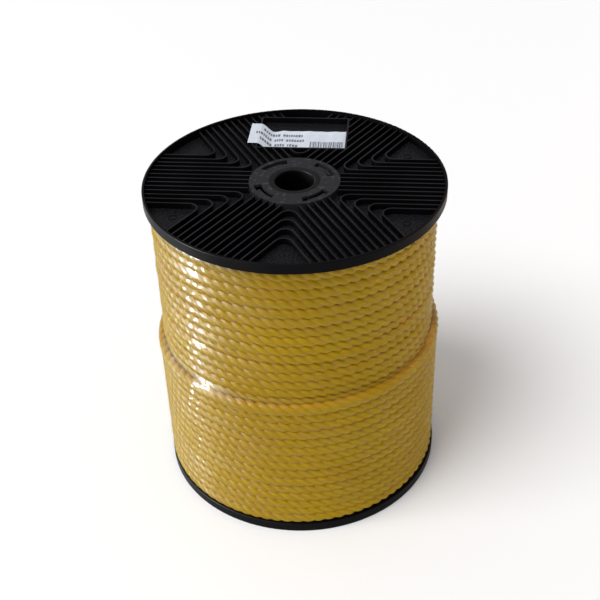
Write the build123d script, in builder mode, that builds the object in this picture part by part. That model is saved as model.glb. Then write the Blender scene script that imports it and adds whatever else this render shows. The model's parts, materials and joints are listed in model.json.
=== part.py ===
"""Rope reel: two ribbed flanges clipped to a barrel, a centre tube, wound rope, wrap film and a label.

Frame: origin at the centre of the lower rim's underside, +Z up the reel's axis, label pocket on +Y.
"""

import math
import os

from build123d import *

# Whole reel
FLANGE_R = 115.0
TOTAL_HEIGHT = 263.0
SIDES = {"top": True, "bottom": False}

# Flange moulding, depths counted from the rope's side outwards
FLANGE_DEPTH = 8.2
RIB_RECESS = 2.0
HUB_RECESS = 1.7
WEB_THICKNESS = 1.4
RIM_THICKNESS = 1.9
RIM_EDGE_ROUND = 0.6
RIB_THICKNESS = 1.15
RIB_SPACING = 6.02
SPOKE_COUNT = 6
STRAIGHT_RIBS_EACH_SIDE = 2
CHEVRON_LAST = 6
CHEVRON_TIP_ROUND = 6.9
WEDGE_R = 1.4 * FLANGE_R
OVERLAP = 0.8

# Flange hub
HUB_R = 34.6
HUB_WALL_INNER_R = 31.5
HUB_DISC_THICKNESS = 2.0
HUB_HOLE_R = 19.6
WINDOW_COUNT = 4
WINDOW_INNER_R = 25.5
WINDOW_SPAN = 44.0
WINDOW_FIRST_ANGLE = 38.4
LEDGE_INNER_R = 29.9
LEDGE_THICKNESS = 1.4

# Label pocket
POCKET_HALF_WIDTH = 36.4
POCKET_NEAR_Y = 50.4
POCKET_FAR_Y = 103.2
POCKET_WALL = 1.4

# Mould marks on the web, near the rim
MARK_R = 3.2
MARK_RING = 0.6
MARK_HEIGHT = 0.4
MARK_CENTRE_R = 98.0
MARK_ANGLES = (-30.0, 30.0, 210.0)

# Barrel
BARREL_R = 35.0
BARREL_WALL = 2.2
DIAPHRAGM_DEPTH = 30.0
DIAPHRAGM_THICKNESS = 2.5
DIAPHRAGM_HOLE_R = 22.0

# Snap hooks
HOOK_SPAN = 32.0
HOOK_ANGLE_SHIFT = 2.5
HOOK_STEM_INNER_R = 27.4
HOOK_STEM_OUTER_R = 29.6
HOOK_BARB_R = 31.2
HOOK_TIP_DEPTH = 3.4
HOOK_BARB_SHOULDER_DEPTH = 4.5
HOOK_BARB_DEPTH = 6.6
HOOK_FOOT_GAP = 0.3

# Centre tube
BORE_R = 15.0
TUBE_R = 19.5
TUBE_COLLAR_R = 21.5
TUBE_COLLAR_WIDTH = 3.0
BORE_EDGE_ROUND = 1.2

# Rope
ROPE_R = 4.0
SOFT_GAP = 0.3
TURN_OVERLAP = 0.15
INNER_LAYERS_R = 99.7
UPPER_LAYER_R = 109.8
LOWER_LAYER_R = 114.3
LAST_TURN_R = 114.6
LAST_TURN_Z = 134.0
UPPER_TURNS = 14
LOWER_TURNS = 15

# Wrap film
FILM_THICKNESS = 0.2
FILM_GAP = 0.2

# Paper label
LABEL_THICKNESS = 0.25
LABEL_GAP = 0.1
LABEL_WIDTH = 33.0
LABEL_RIBS_Y = 73.9
LABEL_FLOOR_Y = 68.8
LABEL_LEFT_X = -43.2
LABEL_BEND_X = -34.6
LABEL_FLOOR_X = -25.5
LABEL_RIGHT_X = 34.6

os.makedirs("parts", exist_ok=True)

WINDING_LOW = FLANGE_DEPTH + SOFT_GAP
WINDING_HIGH = TOTAL_HEIGHT - FLANGE_DEPTH - SOFT_GAP
LAST_TURN_LOW = LAST_TURN_Z - ROPE_R
LAST_TURN_HIGH = LAST_TURN_Z + ROPE_R


def height(depth, top):
    """The Z of a point at a depth below the top rim or above the bottom rim."""
    return TOTAL_HEIGHT - depth if top else depth


def flange_plane(top):
    """The flange's plane on the rope's side: its normal points away from the rope."""
    if top:
        return Plane.XY.offset(TOTAL_HEIGHT - FLANGE_DEPTH)
    return Plane(origin=(0, 0, FLANGE_DEPTH), x_dir=(-1, 0, 0), z_dir=(0, 0, -1))


def radial_plane(angle):
    """A plane through the reel's axis: its x points outwards at the angle and its y points up."""
    turn = math.radians(angle)
    outwards = (math.cos(turn), math.sin(turn), 0)
    return Plane(origin=(0, 0, 0), x_dir=outwards, z_dir=(math.sin(turn), -math.cos(turn), 0))


def ring(outer_r, inner_r):
    """A flat ring in the sketch at hand."""
    Circle(outer_r)
    Circle(inner_r, mode=Mode.SUBTRACT)


def ring_sector(outer_r, inner_r, middle_angle, span):
    """The area of a piece of a flat ring."""
    start = middle_angle - span / 2
    with BuildSketch() as area:
        with BuildLine():
            outer = CenterArc((0, 0), outer_r, start, span)
            inner = CenterArc((0, 0), inner_r, start, span)
            Line(outer @ 0, inner @ 0)
            Line(outer @ 1, inner @ 1)
        make_face()
    return area.sketch


def straight_ribs():
    """The parallel ribs of every spoke, from the hub to the rim."""
    length = FLANGE_R - RIM_THICKNESS + OVERLAP - HUB_R + OVERLAP
    middle = HUB_R - OVERLAP + length / 2
    count = 2 * STRAIGHT_RIBS_EACH_SIDE + 1
    for spoke in range(SPOKE_COUNT):
        with Locations(Rotation(0, 0, spoke * 360 / SPOKE_COUNT)):
            with Locations((middle, 0)):
                with GridLocations(0, RIB_SPACING, 1, count):
                    Rectangle(length, RIB_THICKNESS)


def wedge(bisector, offset, tip_round):
    """The area of a sector that lies beyond an offset from both of its spokes, with a round tip."""
    half_angle = math.radians(180 / SPOKE_COUNT)
    middle = math.radians(bisector)
    tip = offset / math.sin(half_angle)
    end_turn = half_angle - math.asin(offset / WEDGE_R)
    first = (WEDGE_R * math.cos(middle - end_turn), WEDGE_R * math.sin(middle - end_turn))
    last = (WEDGE_R * math.cos(middle + end_turn), WEDGE_R * math.sin(middle + end_turn))
    corner = (tip * math.cos(middle), tip * math.sin(middle))
    with BuildSketch() as area:
        with BuildLine():
            FilletPolyline(first, corner, last, radius=tip_round)
            Line(last, first)
        make_face()
    return area.sketch


def chevrons():
    """The bent ribs of every sector: each leg follows its spoke and they meet in a round tip."""
    half = RIB_THICKNESS / 2
    for sector in range(SPOKE_COUNT):
        bisector = (sector + 0.5) * 360 / SPOKE_COUNT
        for step in range(STRAIGHT_RIBS_EACH_SIDE + 1, CHEVRON_LAST + 1):
            offset = step * RIB_SPACING
            add(wedge(bisector, offset - half, CHEVRON_TIP_ROUND + half))
            add(wedge(bisector, offset + half, CHEVRON_TIP_ROUND - half), mode=Mode.SUBTRACT)


def flange(top):
    """One flange moulding."""
    base = flange_plane(top)
    windows = [WINDOW_FIRST_ANGLE + turn * 360 / WINDOW_COUNT for turn in range(WINDOW_COUNT)]
    # The lower flange's plane is seen from below, so its angles are counted the other way.
    seats = windows if top else [180 - angle for angle in windows]
    pocket_length = POCKET_FAR_Y - POCKET_NEAR_Y
    pocket_centre = (0, (POCKET_FAR_Y + POCKET_NEAR_Y) / 2)
    with BuildPart() as body:
        # Web
        with BuildSketch(base):
            ring(FLANGE_R, HUB_WALL_INNER_R)
        extrude(amount=WEB_THICKNESS)
        # Ribs, open at the label pocket, then the hub's wall and the rim
        with BuildSketch(base):
            straight_ribs()
            chevrons()
            with Locations(pocket_centre):
                Rectangle(2 * POCKET_HALF_WIDTH, pocket_length, mode=Mode.SUBTRACT)
                Rectangle(2 * POCKET_HALF_WIDTH, pocket_length)
                Rectangle(
                    2 * (POCKET_HALF_WIDTH - POCKET_WALL),
                    pocket_length - 2 * POCKET_WALL,
                    mode=Mode.SUBTRACT,
                )
            Circle(FLANGE_R - RIM_THICKNESS / 2, mode=Mode.INTERSECT)
            Circle(HUB_R - OVERLAP, mode=Mode.SUBTRACT)
        extrude(amount=FLANGE_DEPTH - RIB_RECESS)
        with BuildSketch(base):
            ring(HUB_R, HUB_WALL_INNER_R)
        extrude(amount=FLANGE_DEPTH - HUB_RECESS)
        with BuildSketch(base):
            ring(FLANGE_R, FLANGE_R - RIM_THICKNESS)
        extrude(amount=FLANGE_DEPTH)
        outer_edges = body.edges().filter_by(
            lambda edge: edge.geom_type == GeomType.CIRCLE and abs(edge.radius - FLANGE_R) < OVERLAP
        )
        fillet(outer_edges, radius=RIM_EDGE_ROUND)
        # Hub disc with its windows
        with BuildSketch(base.offset(FLANGE_DEPTH - HUB_RECESS - HUB_DISC_THICKNESS)):
            ring(HUB_R - OVERLAP, HUB_HOLE_R)
            for angle in seats:
                window = ring_sector(HUB_WALL_INNER_R, WINDOW_INNER_R, angle, WINDOW_SPAN)
                add(window, mode=Mode.SUBTRACT)
        extrude(amount=HUB_DISC_THICKNESS)
        # Ledges that the snap hooks catch
        with BuildSketch(base):
            for angle in seats:
                add(ring_sector(HUB_R - OVERLAP, LEDGE_INNER_R, angle, WINDOW_SPAN))
        extrude(amount=LEDGE_THICKNESS)
        # Mould marks
        with BuildSketch(base.offset(WEB_THICKNESS)):
            for angle in MARK_ANGLES:
                with PolarLocations(MARK_CENTRE_R, 1, start_angle=angle):
                    ring(MARK_R, MARK_R - MARK_RING)
        extrude(amount=MARK_HEIGHT)
    return body


# Flanges
for side, is_top in SIDES.items():
    moulding = flange(is_top)
    moulding.part.label = f"{side}_flange"
    export_step(moulding.part, f"parts/{side}_flange.step")

# Barrel
with BuildPart() as barrel:
    with BuildSketch(Plane.XY.offset(FLANGE_DEPTH)):
        ring(BARREL_R, BARREL_R - BARREL_WALL)
    extrude(amount=TOTAL_HEIGHT - 2 * FLANGE_DEPTH)
    for low in (DIAPHRAGM_DEPTH, TOTAL_HEIGHT - DIAPHRAGM_DEPTH - DIAPHRAGM_THICKNESS):
        with BuildSketch(Plane.XY.offset(low)):
            ring(BARREL_R - BARREL_WALL + OVERLAP, DIAPHRAGM_HOLE_R)
        extrude(amount=DIAPHRAGM_THICKNESS)
barrel.part.label = "barrel"
export_step(barrel.part, "parts/barrel.step")

# Snap hooks
for side, is_top in SIDES.items():
    for number in range(WINDOW_COUNT):
        middle_angle = WINDOW_FIRST_ANGLE + HOOK_ANGLE_SHIFT + number * 360 / WINDOW_COUNT
        foot = height(DIAPHRAGM_DEPTH - HOOK_FOOT_GAP, is_top)
        tip = height(HOOK_TIP_DEPTH, is_top)
        shoulder = height(HOOK_BARB_SHOULDER_DEPTH, is_top)
        catch = height(HOOK_BARB_DEPTH, is_top)
        with BuildPart() as hook:
            with BuildSketch(radial_plane(middle_angle - HOOK_SPAN / 2)):
                with BuildLine():
                    Polyline(
                        (HOOK_STEM_INNER_R, foot),
                        (HOOK_STEM_OUTER_R, foot),
                        (HOOK_STEM_OUTER_R, catch),
                        (HOOK_BARB_R, catch),
                        (HOOK_BARB_R, shoulder),
                        (HOOK_STEM_OUTER_R, tip),
                        (HOOK_STEM_INNER_R, tip),
                        close=True,
                    )
                make_face()
            revolve(axis=Axis.Z, revolution_arc=HOOK_SPAN)
        hook.part.label = f"{side}_hook_{number + 1}"
        export_step(hook.part, f"parts/{side}_hook_{number + 1}.step")

# Centre tube
with BuildPart() as centre_tube:
    with BuildSketch(Plane.XY.offset(HUB_RECESS)):
        Circle(TUBE_R)
    extrude(amount=TOTAL_HEIGHT - 2 * HUB_RECESS)
    collar_low = HUB_RECESS + HUB_DISC_THICKNESS
    for low in (collar_low, TOTAL_HEIGHT - collar_low - TUBE_COLLAR_WIDTH):
        with BuildSketch(Plane.XY.offset(low)):
            Circle(TUBE_COLLAR_R)
        extrude(amount=TUBE_COLLAR_WIDTH)
    with BuildSketch(Plane.XY):
        Circle(BORE_R)
    extrude(amount=TOTAL_HEIGHT, mode=Mode.SUBTRACT)
    bore_edges = centre_tube.edges().filter_by(
        lambda edge: edge.geom_type == GeomType.CIRCLE and abs(edge.radius - BORE_R) < OVERLAP
    )
    fillet(bore_edges, radius=BORE_EDGE_ROUND)
centre_tube.part.label = "centre_tube"
export_step(centre_tube.part, "parts/centre_tube.step")

# Rope, inner layers
with BuildPart() as rope_inner_layers:
    with BuildSketch(Plane.XY.offset(WINDING_LOW)):
        ring(INNER_LAYERS_R, BARREL_R + SOFT_GAP)
    extrude(amount=WINDING_HIGH - WINDING_LOW)
rope_inner_layers.part.label = "rope_inner_layers"
export_step(rope_inner_layers.part, "parts/rope_inner_layers.step")


def rope_layer(low, high, turns, outer_r):
    """A layer of rope turns: a ring whose outside has one round ridge for each turn."""
    pitch = (high - low - 2 * TURN_OVERLAP) / turns
    inner_r = INNER_LAYERS_R + SOFT_GAP
    with BuildPart() as layer:
        with BuildSketch(Plane.XZ):
            with Locations(((inner_r + outer_r - ROPE_R) / 2, (low + high) / 2)):
                Rectangle(outer_r - ROPE_R - inner_r, high - low)
            with Locations((outer_r - ROPE_R, (low + high) / 2)):
                with GridLocations(0, pitch, 1, turns):
                    Ellipse(ROPE_R, pitch / 2 + TURN_OVERLAP)
        revolve(axis=Axis.Z)
    return layer


# Rope, the outermost turns of the upper half, the lower half and the raised turn between them
layers = {
    "rope_upper_turns": (LAST_TURN_HIGH + SOFT_GAP, WINDING_HIGH, UPPER_TURNS, UPPER_LAYER_R),
    "rope_last_turn": (LAST_TURN_LOW, LAST_TURN_HIGH, 1, LAST_TURN_R),
    "rope_lower_turns": (WINDING_LOW, LAST_TURN_LOW - SOFT_GAP, LOWER_TURNS, LOWER_LAYER_R),
}
for name, (low, high, turns, outer_r) in layers.items():
    layer = rope_layer(low, high, turns, outer_r)
    layer.part.label = name
    export_step(layer.part, f"parts/{name}.step")

# Wrap film
with BuildPart() as wrap_film:
    with BuildSketch(Plane.XZ):
        with BuildLine():
            inside = [
                (LOWER_LAYER_R + FILM_GAP, WINDING_LOW),
                (LOWER_LAYER_R + FILM_GAP, LAST_TURN_LOW - ROPE_R),
                (LAST_TURN_R + FILM_GAP, LAST_TURN_LOW),
                (LAST_TURN_R + FILM_GAP, LAST_TURN_HIGH),
                (UPPER_LAYER_R + FILM_GAP, LAST_TURN_HIGH + 2 * ROPE_R),
                (UPPER_LAYER_R + FILM_GAP, WINDING_HIGH),
            ]
            outside = [(r + FILM_THICKNESS, z) for r, z in reversed(inside)]
            Polyline(*inside, *outside, close=True)
        make_face()
    revolve(axis=Axis.Z)
wrap_film.part.label = "wrap_film"
export_step(wrap_film.part, "parts/wrap_film.step")

# Paper label, bent over the pocket's wall and down onto the web, which draws it towards the hub
label_floor_z = TOTAL_HEIGHT - FLANGE_DEPTH + WEB_THICKNESS + LABEL_GAP + LABEL_THICKNESS / 2
label_ribs_z = TOTAL_HEIGHT - RIB_RECESS + LABEL_GAP + LABEL_THICKNESS / 2
with BuildPart() as paper_label:
    with BuildSketch(Plane.YZ.offset(LABEL_BEND_X)) as upper_fold:
        with Locations((LABEL_RIBS_Y, label_ribs_z)):
            Rectangle(LABEL_WIDTH, LABEL_THICKNESS)
    with BuildSketch(Plane.YZ.offset(LABEL_FLOOR_X)) as lower_fold:
        with Locations((LABEL_FLOOR_Y, label_floor_z)):
            Rectangle(LABEL_WIDTH, LABEL_THICKNESS)
    loft([upper_fold.sketch, lower_fold.sketch], ruled=True)
    extrude(upper_fold.sketch, amount=LABEL_LEFT_X - LABEL_BEND_X)
    extrude(lower_fold.sketch, amount=LABEL_RIGHT_X - LABEL_FLOOR_X)
paper_label.part.label = "paper_label"
export_step(paper_label.part, "parts/paper_label.step")
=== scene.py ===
"""Rope reel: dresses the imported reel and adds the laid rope, the wrap film and the paper label."""

import json
import logging
import math
from collections.abc import Sequence
from dataclasses import dataclass
from enum import Enum

import bpy
import numpy as np
from mathutils import Matrix, Vector


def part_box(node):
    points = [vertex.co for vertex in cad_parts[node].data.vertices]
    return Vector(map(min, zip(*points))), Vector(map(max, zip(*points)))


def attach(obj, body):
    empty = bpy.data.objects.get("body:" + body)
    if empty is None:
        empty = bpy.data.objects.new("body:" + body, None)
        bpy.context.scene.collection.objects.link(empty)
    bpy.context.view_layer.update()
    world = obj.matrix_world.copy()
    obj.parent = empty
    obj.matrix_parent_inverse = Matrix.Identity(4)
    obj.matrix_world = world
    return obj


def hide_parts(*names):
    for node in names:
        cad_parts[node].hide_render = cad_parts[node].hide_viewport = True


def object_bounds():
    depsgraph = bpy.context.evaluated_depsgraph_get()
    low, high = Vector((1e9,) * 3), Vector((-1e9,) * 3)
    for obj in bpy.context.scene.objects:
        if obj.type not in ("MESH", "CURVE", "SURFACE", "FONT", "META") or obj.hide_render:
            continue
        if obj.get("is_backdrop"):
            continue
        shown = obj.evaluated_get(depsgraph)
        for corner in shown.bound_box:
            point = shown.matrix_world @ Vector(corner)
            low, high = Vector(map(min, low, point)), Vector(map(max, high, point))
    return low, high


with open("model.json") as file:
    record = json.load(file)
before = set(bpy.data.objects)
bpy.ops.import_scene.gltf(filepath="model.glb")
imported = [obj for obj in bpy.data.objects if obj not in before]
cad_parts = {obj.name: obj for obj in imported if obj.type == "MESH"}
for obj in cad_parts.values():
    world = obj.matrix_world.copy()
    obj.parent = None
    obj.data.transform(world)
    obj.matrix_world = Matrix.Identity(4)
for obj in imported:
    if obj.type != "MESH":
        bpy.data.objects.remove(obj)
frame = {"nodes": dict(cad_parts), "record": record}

Value = float | bpy.types.NodeSocket
Colour = tuple[float, float, float]

LOG = logging.getLogger("rope_reel")
MM = 0.001
FULL_TURN = 2.0 * math.pi
BODY = "reel"
RIB_RECESS = 2.0 * MM
WEB_DEPTH = 6.8 * MM


class Slot(Enum):
    """The record's material slots for the added pieces; nothing in the script uses them."""

    ROPE = "rope"
    FILM = "film"
    LABEL = "label"


@dataclass(frozen=True)
class Surface:
    """The points, faces and map coordinates of one piece.

    Each entry of faces is an array with one row of point numbers per face. A map coordinate that
    starts again after each round has its period here, and one that doesn't has zero.
    """

    points: np.ndarray
    faces: tuple[np.ndarray, ...]
    uv: np.ndarray
    periods: tuple[float, float] = (0.0, 0.0)

    def corner_uv(self) -> np.ndarray:
        """The map coordinates of every face's corners.

        A coordinate with a period is moved by whole periods to lie nearest to the face's first
        corner, so that no face runs backwards across the seam.

        Returns:
            One row per corner, face by face.
        """
        corners: list[np.ndarray] = []
        for part in self.faces:
            uv = self.uv[part]
            for axis, period in enumerate(self.periods):
                if period:
                    away = (uv[:, :1, axis] - uv[..., axis]) / period
                    uv[..., axis] += period * np.round(away)
            corners.append(uv.reshape(-1, 2))
        return np.concatenate(corners)


def joined(surfaces: list[Surface]) -> Surface:
    """Puts several surfaces into one.

    Args:
        surfaces: The surfaces, in order.

    Returns:
        One surface that holds all their points and faces.
    """
    faces: list[np.ndarray] = []
    first = 0
    for surface in surfaces:
        faces += [part + first for part in surface.faces]
        first += len(surface.points)
    points = np.concatenate([surface.points for surface in surfaces])
    return Surface(points, tuple(faces), np.concatenate([surface.uv for surface in surfaces]))


def grid_faces(rows: int, columns: int, round_columns: bool = False) -> np.ndarray:
    """The quads of a grid of points numbered row by row.

    Args:
        rows: How many rows of points there are.
        columns: How many points a row has.
        round_columns: Whether each row's last point joins its first.

    Returns:
        One row of four point numbers per quad.
    """
    row = np.arange(rows - 1)[:, None] * columns
    here = np.arange(columns if round_columns else columns - 1)[None, :]
    after = (here + 1) % columns
    corners = (row + here, row + after, row + after + columns, row + here + columns)
    return np.stack(corners, axis=-1).reshape(-1, 4)


def make_piece(name: str, surface: Surface, finish: bpy.types.Material) -> bpy.types.Object:
    """Makes a smooth-shaded object from a surface.

    Args:
        name: The piece's name.
        surface: Its points, faces and map coordinates, in metres.
        finish: Its material.

    Returns:
        The object, at the origin.
    """
    corners = np.concatenate([part.ravel() for part in surface.faces]).astype(np.int32)
    sizes = np.concatenate([np.full(len(part), part.shape[1]) for part in surface.faces])
    starts = (np.cumsum(sizes) - sizes).astype(np.int32)
    mesh = bpy.data.meshes.new(name)
    mesh.vertices.add(len(surface.points))
    mesh.vertices.foreach_set("co", surface.points.astype(np.float32).ravel())
    mesh.loops.add(len(corners))
    mesh.loops.foreach_set("vertex_index", corners)
    mesh.polygons.add(len(starts))
    mesh.polygons.foreach_set("loop_start", starts)
    layer = mesh.uv_layers.new(name="UVMap")
    layer.data.foreach_set("uv", surface.corner_uv().astype(np.float32).ravel())
    mesh.update(calc_edges=True)
    mesh.validate()
    mesh.shade_smooth()
    mesh.materials.append(finish)
    piece = bpy.data.objects.new(name, mesh)
    bpy.context.scene.collection.objects.link(piece)
    return piece


class NodeGraph:
    """A material's nodes, with short ways to add and join them."""

    def __init__(self, name: str) -> None:
        """Starts an empty material.

        Args:
            name: The material's name.
        """
        self.material = bpy.data.materials.new(name)
        self.material.use_nodes = True
        self.tree = self.material.node_tree
        self.tree.nodes.clear()
        self.output = self.tree.nodes.new("ShaderNodeOutputMaterial")

    def add(self, kind: str, inputs: dict | None = None, **settings: object) -> bpy.types.Node:
        """Adds a node.

        Args:
            kind: The node's type, without the words that all types start with.
            inputs: Socket values or the sockets that feed them, by the socket's name or number.
            settings: The node's own settings.

        Returns:
            The new node.
        """
        node = self.tree.nodes.new("ShaderNode" + kind)
        for key, value in settings.items():
            setattr(node, key, value)
        for key, value in (inputs or {}).items():
            if isinstance(value, bpy.types.NodeSocket):
                self.tree.links.new(value, node.inputs[key])
            else:
                node.inputs[key].default_value = value
        return node

    def math(
        self, operation: str, first: Value, second: Value = 0.0, clamp: bool = False
    ) -> bpy.types.NodeSocket:
        """The socket that holds an operation on one or two values."""
        inputs = {0: first, 1: second}
        return self.add("Math", inputs, operation=operation, use_clamp=clamp).outputs[0]

    def ramp(
        self, value: Value, low: float, high: float, to_low: float = 0.0, to_high: float = 1.0
    ) -> bpy.types.NodeSocket:
        """The socket that holds a value eased from one range into another."""
        inputs = {"Value": value, 1: low, 2: high, 3: to_low, 4: to_high}
        return self.add("MapRange", inputs, interpolation_type="SMOOTHSTEP").outputs[0]

    def band(self, value: Value, middle: float, edge: float) -> bpy.types.NodeSocket:
        """The socket that is 1 where a value is the middle one and 0 an edge's width away."""
        off = self.math("ABSOLUTE", self.math("SUBTRACT", value, middle))
        return self.ramp(off, 0.5 * edge, edge, 1.0, 0.0)

    def from_axis(self, axes: bpy.types.bpy_prop_collection) -> bpy.types.NodeSocket:
        """The distance from the upright axis: the root of the sum of X squared and Y squared.

        Args:
            axes: A place's X, Y and Z sockets.

        Returns:
            The socket that holds the distance.
        """
        squares = (self.math("POWER", axes[0], 2.0), self.math("POWER", axes[1], 2.0))
        return self.math("SQRT", self.math("ADD", *squares))

    def blend(
        self,
        factor: Value,
        first: Colour | bpy.types.NodeSocket,
        second: Colour | bpy.types.NodeSocket,
    ) -> bpy.types.NodeSocket:
        """Mixes two colours.

        Args:
            factor: The second colour's share.
            first: The colour at a share of zero.
            second: The colour at a share of one.

        Returns:
            The socket that holds the mix.
        """
        node = self.add("Mix", {0: factor}, data_type="RGBA")
        for key, value in ((6, first), (7, second)):
            if isinstance(value, bpy.types.NodeSocket):
                self.tree.links.new(value, node.inputs[key])
            else:
                node.inputs[key].default_value = (*value, 1.0)
        return node.outputs[2]

    def noise(
        self, vector: bpy.types.NodeSocket, scale: float, detail: float = 3.0
    ) -> bpy.types.NodeSocket:
        """The socket that holds noise on a vector."""
        inputs = {"Vector": vector, "Scale": scale, "Detail": detail}
        return self.add("TexNoise", inputs).outputs[0]

    def grain(self, height: Value, distance: float, strength: float) -> bpy.types.NodeSocket:
        """The socket that holds a surface raised by a height."""
        inputs = {"Height": height, "Distance": distance, "Strength": strength}
        return self.add("Bump", inputs).outputs[0]

    def finish(self, shader: bpy.types.NodeSocket) -> bpy.types.Material:
        """Joins a shader to the output and gives the material."""
        self.tree.links.new(shader, self.output.inputs["Surface"])
        return self.material


@dataclass(frozen=True)
class MouldedPlastic:
    """Black moulded plastic: worn on the hub, with a painted highlight along the ribs' tops, dusty
    on the web.

    The hub's share falls from 1 to 0 across its edge, by the distance from the reel's axis. The
    painted highlight's share is 1 on the level of the ribs' tops, inside the rim, and 0 elsewhere.
    The dusty share does the same on the level of the web.
    """

    middle_z: float
    rib_reach: float
    web_reach: float
    name: str = "Moulded plastic"
    colour: Colour = (0.0026, 0.0024, 0.0030)
    rib_highlight_colour: Colour = (0.016, 0.016, 0.019)
    dust_colour: Colour = (0.019, 0.019, 0.021)
    hub_colour: Colour = (0.021, 0.021, 0.023)
    scuff_colour: Colour = (0.062, 0.062, 0.068)
    roughness: float = 0.38
    hub_roughness: float = 0.52
    hub_r: float = 34.7 * MM
    inside_rim_r: float = 112.9 * MM
    edge: float = 0.15 * MM
    grain_scale: float = 900.0
    cloud_scale: float = 28.0
    scuff_scale: float = 260.0
    scuff_share: float = 0.55
    dust_scale: float = 800.0
    grain_height: float = 0.00002

    def build(self) -> bpy.types.Material:
        """Makes the material.

        Returns:
            The material.
        """
        graph = NodeGraph(self.name)
        place = graph.add("TexCoord").outputs["Object"]
        axes = graph.add("SeparateXYZ", {0: place}).outputs
        distance = graph.from_axis(axes)
        level = graph.math("ABSOLUTE", graph.math("SUBTRACT", axes[2], self.middle_z))
        hub = graph.ramp(distance, self.hub_r - self.edge, self.hub_r + self.edge, 1.0, 0.0)
        inside = graph.ramp(distance, self.inside_rim_r - self.edge, self.inside_rim_r, 1.0, 0.0)
        clouds = graph.noise(place, self.cloud_scale)
        # Scuffs on the hub
        scuffs = graph.ramp(graph.noise(place, self.scuff_scale, 6.0), 0.52, 0.70)
        scuffed = graph.math("MULTIPLY", scuffs, self.scuff_share)
        worn = graph.blend(scuffed, self.hub_colour, self.scuff_colour)
        # Painted highlight on the ribs' tops, lighter in cloudy patches
        on_ribs = graph.math("MULTIPLY", inside, graph.band(level, self.rib_reach, self.edge))
        rib_highlight = graph.math("MULTIPLY", on_ribs, graph.ramp(clouds, 0.30, 0.65, 0.45, 1.0))
        plain = graph.blend(rib_highlight, self.colour, self.rib_highlight_colour)
        # Dust on the web
        on_web = graph.math("MULTIPLY", inside, graph.band(level, self.web_reach, self.edge))
        specks = graph.ramp(graph.noise(place, self.dust_scale, 6.0), 0.42, 0.66)
        dusty = graph.blend(graph.math("MULTIPLY", on_web, specks), plain, self.dust_colour)
        smooth = graph.ramp(clouds, 0.3, 0.7, self.roughness - 0.05, self.roughness + 0.07)
        rougher = graph.math("MULTIPLY", hub, self.hub_roughness - self.roughness)
        grain = graph.noise(place, self.grain_scale, 2.0)
        inputs = {
            "Base Color": graph.blend(hub, dusty, worn),
            "Roughness": graph.math("ADD", smooth, rougher),
            "Normal": graph.grain(grain, self.grain_height, 0.6),
            "IOR": 1.49,
            "Specular IOR Level": 0.045,
        }
        return graph.finish(graph.add("BsdfPrincipled", inputs).outputs[0])


@dataclass(frozen=True)
class PlainPlastic:
    """Satin plastic of one colour with fine grain."""

    name: str
    colour: Colour
    roughness: float
    shine: float = 0.2
    patch_scale: float = 120.0
    lighter: float = 1.5
    grain_scale: float = 700.0
    grain_height: float = 0.00003

    def build(self) -> bpy.types.Material:
        """Makes the material.

        Returns:
            The material.
        """
        graph = NodeGraph(self.name)
        place = graph.add("TexCoord").outputs["Object"]
        patches = graph.noise(place, self.patch_scale, 4.0)
        lighter = tuple(self.lighter * part for part in self.colour)
        grain = graph.noise(place, self.grain_scale, 2.0)
        inputs = {
            "Base Color": graph.blend(graph.ramp(patches, 0.45, 0.7), self.colour, lighter),
            "Roughness": self.roughness,
            "Normal": graph.grain(grain, self.grain_height, 0.5),
            "Specular IOR Level": self.shine,
        }
        return graph.finish(graph.add("BsdfPrincipled", inputs).outputs[0])


@dataclass(frozen=True)
class TubePlastic:
    """Dark satin plastic, with painted shade in the bore.

    The lighter colour's share rises from 0 to 1 with the radius, just outside the bore's wall; in
    the bore the dark colour is painted shade.
    """

    bore_r: float
    name: str = "Tube plastic"
    colour: Colour = (0.010, 0.010, 0.011)
    bore_shade_and_patch_colour: Colour = (0.0012, 0.0010, 0.0014)
    roughness: float = 0.5
    edge: float = 0.4 * MM
    patch_scale: float = 120.0
    grain_scale: float = 700.0
    grain_height: float = 0.00003

    def build(self) -> bpy.types.Material:
        """Makes the material.

        Returns:
            The material.
        """
        graph = NodeGraph(self.name)
        place = graph.add("TexCoord").outputs["Object"]
        distance = graph.from_axis(graph.add("SeparateXYZ", {0: place}).outputs)
        low, high = self.bore_r + 0.2 * self.edge, self.bore_r + 2.0 * self.edge
        outside = graph.ramp(distance, low, high)
        patches = graph.ramp(graph.noise(place, self.patch_scale, 4.0), 0.4, 0.7, 0.6, 1.0)
        # Painted shade in the bore; outside it, random patches mix in up to 40% of the same dark
        # colour
        share = graph.math("MULTIPLY", outside, patches)
        grain = graph.noise(place, self.grain_scale, 2.0)
        inputs = {
            "Base Color": graph.blend(share, self.bore_shade_and_patch_colour, self.colour),
            "Roughness": self.roughness,
            "Normal": graph.grain(grain, self.grain_height, 0.5),
            "Specular IOR Level": 0.06,
        }
        return graph.finish(graph.add("BsdfPrincipled", inputs).outputs[0])


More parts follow.
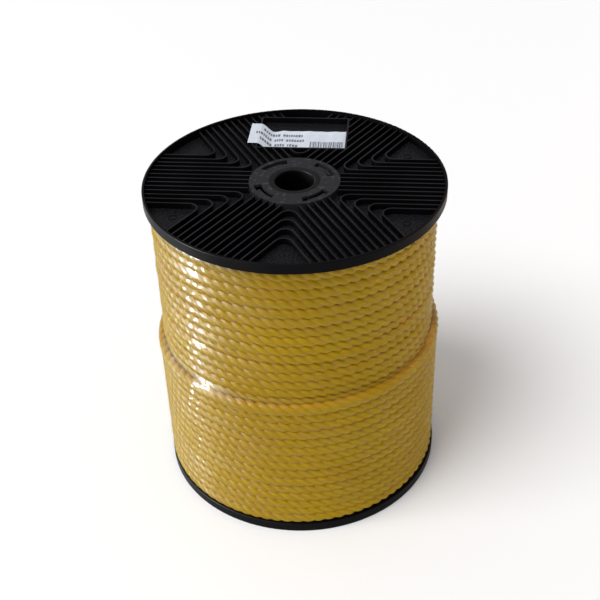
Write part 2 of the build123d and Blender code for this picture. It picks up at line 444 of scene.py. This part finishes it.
@dataclass(frozen=True)
class LaidFibre:
    """Yellow fibre: fine yarns run along the rope, with orange-brown painted shade between strands
    and turns.

    The map's first coordinate runs along the rope and its second runs round it. The strands' crests
    lie where the cosine of the strand count times the angle round the section, counted from the
    lay, is one. The turns meet where the sine of the angle from outwards is one or minus one.
    """

    lay: float
    strands: int
    name: str = "Yellow rope"
    colour: Colour = (0.385, 0.262, 0.003)
    dark: Colour = (0.335, 0.210, 0.002)
    crevice_shade: Colour = (0.40, 0.215, 0.003)
    roughness: float = 0.45
    shine: float = 0.06
    yarns_along: float = 60.0
    yarns_round: float = 34.0
    drift_scale: float = 22.0
    drift_share: float = 0.35
    yarn_height: float = 0.00012

    def build(self) -> bpy.types.Material:
        """Makes the material.

        Returns:
            The material.
        """
        graph = NodeGraph(self.name)
        uv = graph.add("UVMap", uv_map="UVMap").outputs[0]
        scale = (self.yarns_along, self.yarns_round, 1.0)
        stretch = graph.add("Mapping", {"Vector": uv, "Scale": scale})
        yarns = graph.noise(stretch.outputs[0], 1.0)
        place = graph.add("TexCoord").outputs["Object"]
        drift = graph.math("MULTIPLY", graph.noise(place, self.drift_scale, 2.0), self.drift_share)
        near = graph.math("MULTIPLY", yarns, 1.0 - self.drift_share)
        shade = graph.ramp(graph.math("ADD", near, drift), 0.36, 0.60)
        fibre = graph.blend(shade, self.dark, self.colour)
        ways = graph.add("SeparateXYZ", {0: uv}).outputs
        # Painted shade: an orange-brown colour in the crevices between strands and where the turns
        # meet
        from_lay = graph.math("ADD", ways[1], graph.math("DIVIDE", ways[0], self.lay))
        crest = graph.math("COSINE", graph.math("MULTIPLY", from_lay, FULL_TURN * self.strands))
        strand_crevice_shade = graph.ramp(crest, -1.0, 0.0, 0.75, 0.0)
        sideways = graph.math("SINE", graph.math("MULTIPLY", ways[1], FULL_TURN))
        turn_crevice_shade = graph.ramp(graph.math("ABSOLUTE", sideways), 0.50, 0.97, 0.0, 0.85)
        inputs = {
            "Base Color": graph.blend(graph.math("MAXIMUM", strand_crevice_shade, turn_crevice_shade), fibre, self.crevice_shade),
            "Roughness": self.roughness,
            "Specular IOR Level": self.shine,
            "Normal": graph.grain(yarns, self.yarn_height, 0.7),
            "Subsurface Weight": 0.5,
            "Subsurface Radius": (1.0, 0.7, 0.12),
            "Subsurface Scale": 0.0025,
        }
        return graph.finish(graph.add("BsdfPrincipled", inputs).outputs[0])


@dataclass(frozen=True)
class ClearFilm:
    """Clear stretch film: it mirrors at its surface, hazes a little and lets the rest through."""

    name: str = "Clear film"
    haze_colour: Colour = (0.80, 0.80, 0.78)
    roughness: float = 0.05
    haze_roughness: float = 0.45
    veil: float = 0.009
    mirror_gain: float = 0.18
    wrinkle_height: float = 0.00042
    wrinkle_scale: tuple[float, float, float] = (60.0, 260.0, 1.0)
    slant: float = 0.10
    patch_scale: float = 40.0

    def build(self) -> bpy.types.Material:
        """Makes the material.

        Returns:
            The material.
        """
        graph = NodeGraph(self.name)
        uv = graph.add("UVMap", uv_map="UVMap").outputs[0]
        inputs = {"Vector": uv, "Rotation": (0.0, 0.0, self.slant), "Scale": self.wrinkle_scale}
        wrinkles = graph.noise(graph.add("Mapping", inputs).outputs[0], 1.0, 4.0)
        raised = graph.grain(wrinkles, self.wrinkle_height, 0.8)
        patches = graph.noise(graph.add("TexCoord").outputs["Object"], self.patch_scale, 4.0)
        veil = graph.ramp(patches, 0.35, 0.75, self.veil * 0.4, self.veil * 1.8)
        fresnel = graph.add("Fresnel", {"IOR": 1.45, "Normal": raised}).outputs[0]
        mirror = graph.math("MULTIPLY", fresnel, self.mirror_gain)
        share = graph.math("ADD", mirror, veil, clamp=True)
        shine = graph.math("DIVIDE", mirror, share)
        inputs = {"Color": (1.0, 1.0, 1.0, 1.0), "Roughness": self.roughness, "Normal": raised}
        glossy = graph.add("BsdfGlossy", inputs)
        inputs = {"Color": (*self.haze_colour, 1.0), "Roughness": self.haze_roughness}
        haze = graph.add("BsdfGlossy", inputs)
        front = graph.add("MixShader", {0: shine, 1: haze.outputs[0], 2: glossy.outputs[0]})
        clear = graph.add("BsdfTransparent")
        mixed = graph.add("MixShader", {0: share, 1: clear.outputs[0], 2: front.outputs[0]})
        return graph.finish(mixed.outputs[0])


@dataclass(frozen=True)
class Paper:
    """Matt paper with a faint mottle."""

    name: str
    colour: Colour
    roughness: float = 0.7
    mottle_scale: float = 400.0
    darker: float = 0.93

    def build(self) -> bpy.types.Material:
        """Makes the material.

        Returns:
            The material.
        """
        graph = NodeGraph(self.name)
        place = graph.add("TexCoord").outputs["Object"]
        mottle = graph.noise(place, self.mottle_scale, 4.0)
        darker = tuple(self.darker * part for part in self.colour)
        colour = graph.blend(graph.ramp(mottle, 0.4, 0.65), darker, self.colour)
        inputs = {"Base Color": colour, "Roughness": self.roughness}
        return graph.finish(graph.add("BsdfPrincipled", inputs).outputs[0])


class Finishes:
    """Every material of the reel."""

    def __init__(self, low_z: float, high_z: float, bore_r: float, section: "RopeSection") -> None:
        """Makes the materials.

        Args:
            low_z: The lower rim's underside.
            high_z: The upper rim's top.
            bore_r: The centre tube's bore.
            section: The rope's cross-section, which the strands' shading follows.
        """
        middle_z = (low_z + high_z) / 2.0
        reach = high_z - middle_z
        self.moulded = MouldedPlastic(middle_z, reach - RIB_RECESS, reach - WEB_DEPTH).build()
        self.tube = TubePlastic(bore_r).build()
        self.hook = PlainPlastic("Hook plastic", (0.012, 0.012, 0.014), 0.50).build()
        self.rope = LaidFibre(section.lay, section.strands).build()
        self.film = ClearFilm().build()
        self.paper = Paper("Label paper", (0.58, 0.62, 0.69)).build()
        self.print = Paper("Label print", (0.12, 0.13, 0.16)).build()


def direction(turn: float, rise: float) -> Vector:
    """A direction seen from the reel: its front turned by one angle and then raised by another.

    Args:
        turn: The angle round the axis from the front, towards the right.
        rise: The angle above level.

    Returns:
        The direction, one metre long.
    """
    level = math.cos(rise)
    return Vector((math.sin(turn) * level, -math.cos(turn) * level, math.sin(rise)))


def slow_wave(angle: np.ndarray, seed: int, waves: int = 5) -> np.ndarray:
    """A smooth random curve of an angle, with zero mean and a size of about one.

    It is a sum of sines whose rates and phases come from the seed, divided by the root of their
    number.

    Args:
        angle: Where the curve is wanted, in radians.
        seed: Which curve it is.
        waves: How many sines it has.

    Returns:
        The curve's value at each angle.
    """
    random = np.random.default_rng(seed)
    rates = random.uniform(0.4, 3.2, waves)
    phases = random.uniform(0.0, FULL_TURN, waves)
    total = np.zeros_like(angle, dtype=float)
    for rate, phase in zip(rates, phases):
        total += np.sin(rate * angle + phase)
    return total / math.sqrt(waves / 2.0)


def smooth_step(value: np.ndarray) -> np.ndarray:
    """A value from 0 to 1 eased at both ends: three times its square less twice its cube."""
    kept = np.clip(value, 0.0, 1.0)
    return kept * kept * (3.0 - 2.0 * kept)


@dataclass(frozen=True)
class RopeSection:
    """The rope's cross-section: three round strands pressed together.

    Its radius at an angle is the far side of the nearest strand's circle: the strand's centre
    distance times the cosine, plus the root of the strand's radius squared less the square of the
    centre distance times the sine. The hollows between the strands are then filled by a share.
    """

    strand_r: float = 2.08 * MM
    centre: float = 1.92 * MM
    points: int = 27
    lay: float = 25.5 * MM
    strands: int = 3
    flatten: float = 0.94
    spread: float = 1.24
    fullness: float = 0.72
    filled: float = 0.34

    def radius(self, angle: np.ndarray) -> np.ndarray:
        """The section's radius.

        Args:
            angle: Angles round the section, counted from a strand's crest.

        Returns:
            The radius at each angle.
        """
        part = FULL_TURN / self.strands
        near = (angle + part / 2.0) % part - part / 2.0
        across = self.centre * np.sin(near)
        plain = self.centre * np.cos(near) + np.sqrt(self.strand_r**2 - across**2)
        return plain + self.filled * (self.centre + self.strand_r - plain)

    def outward(self, angle: np.ndarray) -> np.ndarray:
        """The cosine of an angle, raised to a power below one so that the section is fuller."""
        cosine = np.cos(angle)
        return np.sign(cosine) * np.abs(cosine) ** self.fullness

    def twist(self, length: np.ndarray) -> np.ndarray:
        """How far the section has turned after a length of rope, right-hand laid."""
        return -FULL_TURN * length / self.lay


@dataclass(frozen=True)
class WoundLayer:
    """One layer of turns on the drum.

    A turn lies nearly flat and steps up to the next one at the back. The height at a winding angle
    is the start height plus the pitch times the turns so far. Of each turn's rise, one share is
    spread evenly and the rest is an eased step across the back. The layer lies a little off the
    axis, so its distance grows with the cosine of the angle from one side. At both ends the rope is
    tucked in towards the axis by an eased share of the tuck, so that no end shows.
    """

    name: str
    start_z: float
    radius: float
    first: float
    last: float
    lowest: float
    highest: float
    seed: int
    pitch: float = 8.28 * MM
    even_share: float = 0.35
    step_from: float = 0.36
    step_to: float = 0.64
    sway: float = 0.28 * MM
    swell: float = 0.30 * MM
    tilt: float = 0.0
    tilt_reach: float = 30.0 * MM
    ridge: float = 0.0
    zero_azimuth: float = math.radians(-90.0)
    bulge: float = 0.0
    bulge_azimuth: float = math.radians(186.0)
    tuck: float = 8.5 * MM
    tuck_turns: float = 0.07

    def height(self, angle: np.ndarray) -> np.ndarray:
        """How high the rope's centre lies.

        Args:
            angle: Winding angles.

        Returns:
            The height at each angle.
        """
        whole = np.floor(angle / FULL_TURN)
        part = angle / FULL_TURN - whole
        step = smooth_step((part - self.step_from) / (self.step_to - self.step_from))
        rise = whole + self.even_share * part + (1.0 - self.even_share) * step
        base = self.start_z + self.pitch * rise + self.sway * slow_wave(angle, self.seed)
        base = np.clip(base, self.lowest, self.highest)
        top = self.start_z + self.pitch * self.last
        lean = self.tilt * np.exp(-np.clip(top - base, 0.0, None) / self.tilt_reach)
        return base + lean * np.sin(angle)

    def distance(self, angle: np.ndarray) -> np.ndarray:
        """How far the rope's centre lies from the reel's axis.

        Args:
            angle: Winding angles.

        Returns:
            The distance at each angle.
        """
        raised = smooth_step((angle / FULL_TURN - self.last + 1.15) / 0.15)
        aside = self.bulge * np.cos(angle + self.zero_azimuth - self.bulge_azimuth)
        turns = angle / FULL_TURN
        from_end = np.minimum(turns - self.first, self.last - turns)
        tucked = self.tuck * (1.0 - smooth_step(from_end / self.tuck_turns))
        waves = self.swell * slow_wave(angle, self.seed + 50)
        return self.radius + aside + waves + self.ridge * raised - tucked

    def centre(self, angle: np.ndarray) -> np.ndarray:
        """Where the rope's centre lies: its distance along its azimuth, at its height.

        Args:
            angle: Winding angles.

        Returns:
            The place at each angle.
        """
        azimuth, out = angle + self.zero_azimuth, self.distance(angle)
        places = [out * np.cos(azimuth), out * np.sin(azimuth), self.height(angle)]
        return np.stack(places, axis=-1)

    def at_azimuth(self, azimuth: np.ndarray) -> np.ndarray:
        """The winding angle of every turn that passes each azimuth.

        Args:
            azimuth: Directions from the reel's axis, in radians.

        Returns:
            One row per direction and one column per turn; turns past the layer's end are not a
            number.
        """
        first = (azimuth - self.zero_azimuth) % FULL_TURN
        angles = first[:, None] + FULL_TURN * np.arange(math.ceil(self.last))[None, :]
        inside = (angles >= self.first * FULL_TURN) & (angles <= self.last * FULL_TURN)
        return np.where(inside, angles, np.nan)


@dataclass
class LaidRope:
    """The rope that shows: the upper half's turns and, over them, the lower half's turns."""

    finishes: Finishes
    section: RopeSection = RopeSection()
    rope_r: float = 4.0 * MM
    turns_a_piece: float = 5.0
    steps_a_turn: int = 560
    upper: WoundLayer = WoundLayer(
        name="upper",
        start_z=116.5 * MM,
        radius=106.0 * MM,
        first=0.3,
        last=16.40,
        lowest=110.0 * MM,
        highest=250.5 * MM,
        seed=11,
        bulge=1.1 * MM,
    )
    lower: WoundLayer = WoundLayer(
        name="lower",
        start_z=4.5 * MM,
        radius=110.6 * MM,
        first=0.60,
        last=15.68,
        lowest=12.4 * MM,
        highest=250.5 * MM,
        seed=29,
        tilt=3.4 * MM,
        ridge=0.8 * MM,
        bulge=0.5 * MM,
    )

    def stretch(self, layer: WoundLayer, start: float, end: float) -> Surface:
        """The rope between two winding angles, closed at both ends.

        A point lies at the rope's centre plus the section's radius times the fuller cosine of its
        angle outwards and the sine of its angle upwards, a little flattened outwards and spread
        upwards where the turns press together. The angle grows round the section and turns back
        with the lay along the rope.

        Args:
            layer: The layer whose path the rope follows.
            start: The first winding angle.
            end: The last winding angle.

        Returns:
            The closed surface.
        """
        rows = max(3, round(self.steps_a_turn * (end - start) / FULL_TURN))
        angle = np.linspace(start, end, rows)
        round_it = np.arange(self.section.points) * FULL_TURN / self.section.points
        length = layer.radius * angle
        turned = round_it[None, :] + self.section.twist(length)[:, None]
        reach = self.section.radius(round_it)[None, :]
        azimuth = angle + layer.zero_azimuth
        outwards = np.stack([np.cos(azimuth), np.sin(azimuth), np.zeros(rows)], axis=-1)
        upwards = np.array([0.0, 0.0, 1.0])
        points = (
            layer.centre(angle)[:, None, :]
            + (self.section.flatten * reach * self.section.outward(turned))[..., None]
            * outwards[:, None, :]
            + (self.section.spread * reach * np.sin(turned))[..., None] * upwards
        ).reshape(-1, 3)
        along = np.repeat(length, self.section.points)
        uv = np.stack([along, (turned / FULL_TURN).ravel()], axis=-1)
        count = self.section.points
        first_cap = np.arange(count)[None, :]
        last_cap = (np.arange(count)[::-1] + (rows - 1) * count)[None, :]
        faces = grid_faces(rows, count, round_columns=True)
        return Surface(points, (faces, first_cap, last_cap), uv, periods=(0.0, 1.0))

    def build(self) -> list[bpy.types.Object]:
        """Makes the rope's pieces.

        Returns:
            The pieces, each a few turns long.
        """
        pieces = []
        for layer, nodes in (
            (self.upper, ("rope_upper_turns",)),
            (self.lower, ("rope_lower_turns", "rope_last_turn")),
        ):
            count = math.ceil((layer.last - layer.first) / self.turns_a_piece)
            cuts = np.linspace(layer.first, layer.last, count + 1) * FULL_TURN
            for number in range(count):
                surface = self.stretch(layer, cuts[number], cuts[number + 1])
                name = f"rope_{layer.name}_{number + 1}"
                piece = make_piece(name, surface, self.finishes.rope)
                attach(piece, BODY)
                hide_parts(*nodes)
                pieces.append(piece)
        return pieces


@dataclass
class WrapFilm:
    """Stretch film drawn over the turns.

    Its distance from the axis is the highest of one hump per turn: the turn's crest less a groove
    that deepens as a cosine towards the turn's edge and then falls away at a steady slope. Small
    bumps follow the strands, and slow waves loosen it where the layers step.
    """

    finishes: Finishes
    rope: LaidRope
    low_z: float = 8.7 * MM
    high_z: float = 254.3 * MM
    columns: int = 620
    row_step: float = 0.80 * MM
    groove: float = 1.3 * MM
    slope: float = 0.95
    gap: float = 0.10 * MM
    strand_bump: float = 0.20 * MM
    loose: float = 0.10 * MM
    first_column: float = 0.25
    waves_round: float = 3.0
    waves_up: float = 90.0
    wave_seed: int = 7

    def humps(self, layer: WoundLayer, azimuth: np.ndarray, height: np.ndarray) -> np.ndarray:
        """The film's distance from the axis over one layer's turns.

        Args:
            layer: The layer under the film.
            azimuth: Directions from the axis, one per column.
            height: Heights, one per row.

        Returns:
            Distances, one row per height and one column per direction.
        """
        angles = layer.at_azimuth(azimuth)
        centre_z = layer.height(angles)
        crest = layer.distance(angles) + self.rope.section.flatten * self.rope.rope_r
        off = height[:, None, None] - centre_z[None, :, :]
        half = layer.pitch / 2.0
        share = np.clip(np.abs(off) / half, 0.0, 1.0)
        inside = self.groove * (1.0 - np.cos(np.pi * share)) / 2.0
        outside = self.slope * np.clip(np.abs(off) - half, 0.0, None)
        section = self.rope.section
        seen = np.arcsin(np.clip(off / self.rope.rope_r, -1.0, 1.0))
        phase = seen - section.twist(layer.radius * angles)[None, :, :]
        bump = self.strand_bump * np.cos(section.strands * phase) * np.exp(-((off / half) ** 2))
        return np.nanmax(crest[None, :, :] - inside - outside + bump, axis=2)

    def surface(self, low: float, high: float) -> Surface:
        """The film between two heights.

        Args:
            low: The lower edge's height.
            high: The upper edge's height.

        Returns:
            The open tube of film, facing outwards.
        """
        rows = round((high - low) / self.row_step) + 1
        height = np.linspace(low, high, rows)
        azimuth = (np.arange(self.columns) / self.columns + self.first_column) * FULL_TURN
        over = np.maximum(
            self.humps(self.rope.upper, azimuth, height),
            self.humps(self.rope.lower, azimuth, height),
        )
        phase = azimuth[None, :] * self.waves_round + height[:, None] * self.waves_up
        out = over + self.gap + self.loose * (1.0 + slow_wave(phase, self.wave_seed))
        points = np.stack(
            [
                out * np.cos(azimuth)[None, :],
                out * np.sin(azimuth)[None, :],
                np.broadcast_to(height[:, None], out.shape),
            ],
            axis=-1,
        ).reshape(-1, 3)
        around = np.broadcast_to(azimuth[None, :] * self.rope.upper.radius, out.shape)
        uv = np.stack([around, np.broadcast_to(height[:, None], out.shape)], axis=-1).reshape(-1, 2)
        faces = grid_faces(rows, self.columns, round_columns=True)
        return Surface(points, (faces,), uv, periods=(FULL_TURN * self.rope.upper.radius, 0.0))

    def build(self) -> list[bpy.types.Object]:
        """Makes the film in two bands.

        Returns:
            The lower and the upper band.
        """
        middle = (self.low_z + self.high_z) / 2.0
        pieces = []
        for name, low, high in (
            ("wrap_film_low", self.low_z, middle),
            ("wrap_film_high", middle, self.high_z),
        ):
            piece = make_piece(name, self.surface(low, high), self.finishes.film)
            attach(piece, BODY)
            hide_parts("wrap_film")
            pieces.append(piece)
        return pieces


@dataclass
class PaperLabel:
    """A printed strip that lies on the ribs, drops over the pocket's wall and lies in the pocket.

    Seen from the front, the strip is a path of straight runs joined by eased bends. A point is at
    the path's place at its distance along the strip, raised by a slow wave where the strip is free.
    The pocket's part is drawn towards the hub by an eased shift over the drop. Each row of print
    has its distance from the strip's near edge and its start and end along it.
    """

    finishes: Finishes
    top_z: float
    floor_z: float
    near_y: float = 57.4 * MM
    far_y: float = 90.4 * MM
    draw: float = 5.1 * MM
    left_x: float = -43.2 * MM
    bend_x: float = -34.9 * MM
    floor_x: float = -25.0 * MM
    right_x: float = 34.6 * MM
    lift: float = 0.25 * MM
    wave: float = 0.22 * MM
    ease: float = 1.6 * MM
    curl: float = 0.9 * MM
    curl_from: float = 0.86
    free_from: float = 20.0 * MM
    free_over: float = 8.0 * MM
    length_steps: int = 220
    width_steps: int = 60
    path_steps: int = 4000
    print_lift: float = 0.05 * MM
    rows: tuple[tuple[float, float, float], ...] = (
        (24.6 * MM, 11.0 * MM, 33.0 * MM),
        (16.4 * MM, 5.0 * MM, 46.0 * MM),
        (8.2 * MM, 9.0 * MM, 41.0 * MM),
    )
    mark_height: float = 4.1 * MM
    mark_gap: float = 0.60 * MM
    word_gap: float = 1.9 * MM
    bars_length: float = 28.5 * MM
    bars_low: float = 1.2 * MM
    bars_height: float = 17.0 * MM
    bars_margin: float = 1.4 * MM
    print_seed: int = 5

    def slant(self) -> float:
        """The length of the strip's run down into the pocket."""
        return math.hypot(self.floor_x - self.bend_x, self.top_z - self.floor_z)

    def flat_length(self) -> float:
        """The strip's length before it was bent."""
        return (self.bend_x - self.left_x) + self.slant() + (self.right_x - self.floor_x)

    def path(self, along: np.ndarray) -> tuple[np.ndarray, np.ndarray]:
        """The strip's path.

        The place is a running sum of the direction, and the direction's slope is eased from level
        to the slant and back.

        Args:
            along: Distances along the strip from its left end.

        Returns:
            The X and the Z at each distance.
        """
        first = self.bend_x - self.left_x
        fine = np.linspace(0.0, self.flat_length(), self.path_steps)
        turn = math.atan2(self.top_z - self.floor_z, self.floor_x - self.bend_x)
        down = smooth_step((fine - first + self.ease) / (2.0 * self.ease))
        back = smooth_step((fine - first - self.slant() + self.ease) / (2.0 * self.ease))
        slope = turn * (down - back)
        step = fine[1] - fine[0]
        x = self.left_x + np.concatenate([[0.0], np.cumsum(np.cos(slope[1:]) * step)])
        z = self.top_z - np.concatenate([[0.0], np.cumsum(np.sin(slope[1:]) * step)])
        return np.interp(along, fine, x), np.interp(along, fine, z)

    def place(self, along: np.ndarray, across: np.ndarray, lift: float) -> np.ndarray:
        """Points on the strip.

        Args:
            along: Distances along the strip.
            across: Distances from its near edge.
            lift: How far above the strip's underside the points are.

        Returns:
            The points.
        """
        x, z = self.path(along)
        free = smooth_step((along - self.free_from) / self.free_over)
        swell = self.wave * (1.0 + np.sin(along * 260.0 + across * 40.0) * 0.6)
        swell += 0.5 * self.wave * np.sin(along * 610.0 - across * 90.0)
        share = across / (self.far_y - self.near_y)
        curl = self.curl * smooth_step((share - self.curl_from) / (1.0 - self.curl_from)) * free
        z = z + self.lift + lift + free * np.clip(swell, 0.0, None) + curl
        drawn = self.draw * smooth_step((x - self.bend_x) / (self.floor_x - self.bend_x))
        return np.stack([x, self.near_y + across - drawn, z], axis=-1)

    def patch(
        self,
        ends: tuple[float, float],
        edges: tuple[float, float],
        lift: float,
        steps: tuple[int, int],
    ) -> Surface:
        """A rectangle of the strip.

        Args:
            ends: Its left and right ends' distances along the strip.
            edges: Its near and far edges' distances across the strip.
            lift: How far above the strip's underside it lies.
            steps: How many faces it has across and along.

        Returns:
            The patch, facing up.
        """
        across, along = np.meshgrid(
            np.linspace(*edges, steps[0] + 1), np.linspace(*ends, steps[1] + 1), indexing="ij"
        )
        points = self.place(along.ravel(), across.ravel(), lift)
        uv = np.stack([along.ravel(), across.ravel()], axis=-1)
        return Surface(points, (grid_faces(steps[0] + 1, steps[1] + 1),), uv)

    def marks(self) -> Surface:
        """The print: rows of small blocks in groups, and a block of bars at the right end.

        Returns:
            Every mark, as patches that lie on the strip.
        """
        random = np.random.default_rng(self.print_seed)
        patches: list[Surface] = []
        for base, start, end in self.rows:
            at = start
            while at < end:
                for _ in range(random.integers(4, 9)):
                    width = random.uniform(1.1, 1.9) * MM
                    height = self.mark_height * random.uniform(0.8, 1.0)
                    ends, edges = (at, at + width), (base, base + height)
                    patches.append(self.patch(ends, edges, self.print_lift, (2, 2)))
                    at += width + self.mark_gap
                at += self.word_gap
        at = self.flat_length() - self.bars_length
        while at < self.flat_length() - self.bars_margin:
            width = random.choice([0.4, 0.7, 1.1]) * MM
            ends, edges = (at, at + width), (self.bars_low, self.bars_height)
            patches.append(self.patch(ends, edges, self.print_lift, (12, 1)))
            at += width + random.choice([0.45, 0.8]) * MM
        return joined(patches)

    def build(self) -> list[bpy.types.Object]:
        """Makes the strip and its print.

        Returns:
            The two pieces.
        """
        edges = (0.0, self.far_y - self.near_y)
        steps = (self.width_steps, self.length_steps)
        surface = self.patch((0.0, self.flat_length()), edges, 0.0, steps)
        strip = make_piece("label_strip", surface, self.finishes.paper)
        marks = make_piece("label_marks", self.marks(), self.finishes.print)
        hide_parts("paper_label")
        for piece in (strip, marks):
            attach(piece, BODY)
        return [strip, marks]


@dataclass
class PlasticReel:
    """The moulded reel itself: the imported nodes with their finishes."""

    finishes: Finishes

    def dress(self, nodes: dict[str, bpy.types.Object]) -> list[bpy.types.Object]:
        """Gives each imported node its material.

        Args:
            nodes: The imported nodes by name.

        Returns:
            The nodes that were dressed.
        """
        dressed = []
        for name, node in nodes.items():
            if "hook" in name:
                finish = self.finishes.hook
            elif name == "centre_tube":
                finish = self.finishes.tube
            elif name in ("top_flange", "bottom_flange", "barrel"):
                finish = self.finishes.moulded
            elif name.startswith("rope"):
                finish = self.finishes.rope
            else:
                continue
            node.data.materials.clear()
            node.data.materials.append(finish)
            dressed.append(node)
        return dressed


@dataclass(frozen=True)
class Lamp:
    """A soft rectangular lamp that points at the reel and that only shiny surfaces see."""

    name: str
    azimuth: float
    elevation: float
    distance: float
    size: tuple[float, float]
    power: float
    colour: Colour = (1.0, 1.0, 1.0)

    def build(self, target: Vector, heading: float) -> bpy.types.Object:
        """Makes the lamp.

        Args:
            target: The point it shines at.
            heading: The camera's azimuth, which the lamp's own azimuth is added to.

        Returns:
            The lamp.
        """
        away = direction(math.radians(self.azimuth) + heading, math.radians(self.elevation))
        light = bpy.data.lights.new(self.name, "AREA")
        light.shape = "RECTANGLE"
        light.size, light.size_y = self.size
        light.energy = self.power
        light.color = self.colour
        lamp = bpy.data.objects.new(self.name, light)
        lamp.location = target + away * self.distance
        lamp.visible_diffuse = False
        lamp.rotation_euler = away.to_track_quat("Z", "Y").to_euler()
        bpy.context.scene.collection.objects.link(lamp)
        return lamp


@dataclass(frozen=True)
class Studio:
    """The pale floor, the soft lamps and the camera."""

    heading: float = math.radians(6.053)
    camera_turn: float = math.radians(6.155)
    camera_reach: float = 0.70751
    camera_height: float = 0.67331
    camera_dip: float = math.radians(36.565)
    camera_roll: float = 0.03164
    lens: float = 64.71
    sensor_width: float = 36.0
    floor_size: float = 30.0
    floor_colour: Colour = (0.86, 0.86, 0.86)
    floor_roughness: float = 0.9
    sun_strength: float = 2.3
    sun_softness: float = math.radians(35.0)
    sun_azimuth: float = math.radians(-58.0)
    sun_elevation: float = math.radians(58.0)
    world_colour: Colour = (0.50, 0.50, 0.51)

    def lamps(self) -> tuple[Lamp, ...]:
        """The lamps that only the shiny surfaces see, by azimuth from the camera's side."""
        cool, warm, amber = (0.70, 1.0, 0.95), (1.0, 0.36, 0.06), (1.0, 0.42, 0.10)
        return (
            Lamp("Left strip", -76.0, 10.0, 1.1, (0.20, 0.7), 92.0),
            Lamp("Left card", -100.0, 14.0, 1.15, (1.0, 0.6), 9.0, cool),
            Lamp("Far left card", -140.0, 16.0, 1.3, (0.8, 0.8), 4.0),
            Lamp("Right card", 98.0, 12.0, 1.0, (0.9, 0.7), 4.0, warm),
            Lamp("Right strip", 96.0, 8.0, 1.0, (1.7, 0.16), 8.0, amber),
        )

    def build_sun(self) -> None:
        """Makes the soft key light, high on the camera's left."""
        light = bpy.data.lights.new("Key light", "SUN")
        light.energy = self.sun_strength
        light.angle = self.sun_softness
        away = direction(self.sun_azimuth + self.heading, self.sun_elevation)
        sun = bpy.data.objects.new("Key light", light)
        sun.rotation_euler = away.to_track_quat("Z", "Y").to_euler()
        bpy.context.scene.collection.objects.link(sun)

    def build_floor(self) -> None:
        """Makes the floor, which isn't part of the reel."""
        graph = NodeGraph("Pale floor")
        inputs = {"Base Color": (*self.floor_colour, 1.0), "Roughness": self.floor_roughness}
        finish = graph.finish(graph.add("BsdfPrincipled", inputs).outputs[0])
        ends = np.array([-0.5, 0.5]) * self.floor_size
        across, along = np.meshgrid(ends, ends)
        corners = np.stack([across.ravel(), along.ravel(), np.zeros(across.size)], axis=-1)
        surface = Surface(corners, (grid_faces(len(ends), len(ends)),), corners[:, :2])
        make_piece("floor", surface, finish)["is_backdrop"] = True

    def build(self) -> None:
        """Makes the floor, the world, the lamps and the camera."""
        self.build_floor()
        scene = bpy.context.scene
        world = bpy.data.worlds.new("Soft surroundings")
        world.use_nodes = True
        background = world.node_tree.nodes["Background"]
        background.inputs["Color"].default_value = (*self.world_colour, 1.0)
        scene.world = world
        scene.view_settings.view_transform = "Standard"
        low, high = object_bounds()
        target = (Vector(low) + Vector(high)) / 2.0
        for lamp in self.lamps():
            lamp.build(target, self.heading)
        self.build_sun()
        self.build_camera()

    def build_camera(self) -> None:
        """Makes the camera, a little above the reel and tipped to one side."""
        back = direction(self.heading, self.camera_dip)
        right = Vector((math.cos(self.heading), math.sin(self.heading), 0.0))
        up = back.cross(right)
        tip, stay = math.sin(self.camera_roll), math.cos(self.camera_roll)
        tipped_right = stay * right - tip * up
        tipped_up = stay * up + tip * right
        data = bpy.data.cameras.new("Camera")
        data.lens = self.lens
        data.sensor_width = self.sensor_width
        camera = bpy.data.objects.new("Camera", data)
        place = self.camera_reach * direction(self.camera_turn, 0.0)
        place.z = self.camera_height
        columns = Matrix((tipped_right, tipped_up, back)).transposed()
        camera.matrix_world = Matrix.Translation(place) @ columns.to_4x4()
        bpy.context.scene.collection.objects.link(camera)
        bpy.context.scene.camera = camera


def main() -> None:
    """Dresses the reel, adds the rope, the film and the label, and sets the stage."""
    logging.basicConfig(level=logging.INFO, format="%(name)s: %(message)s")
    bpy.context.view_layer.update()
    low_z, high_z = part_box("bottom_flange")[0][2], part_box("top_flange")[1][2]
    mounts = {mount["name"]: mount for mount in frame["record"]["mounts"]}
    bore_r = mounts["bore"]["dims"]["r_mm"] * MM
    finishes = Finishes(low_z, high_z, bore_r, RopeSection())
    for node in PlasticReel(finishes).dress(frame["nodes"]):
        LOG.info("dressed %s", node.name)
    rope = LaidRope(finishes)
    label = PaperLabel(finishes, top_z=high_z - RIB_RECESS, floor_z=high_z - WEB_DEPTH)
    for part in (rope, WrapFilm(finishes, rope), label):
        for piece in part.build():
            LOG.info("built %s with %d points", piece.name, len(piece.data.vertices))
    Studio().build()


if __name__ == "__main__":
    main()
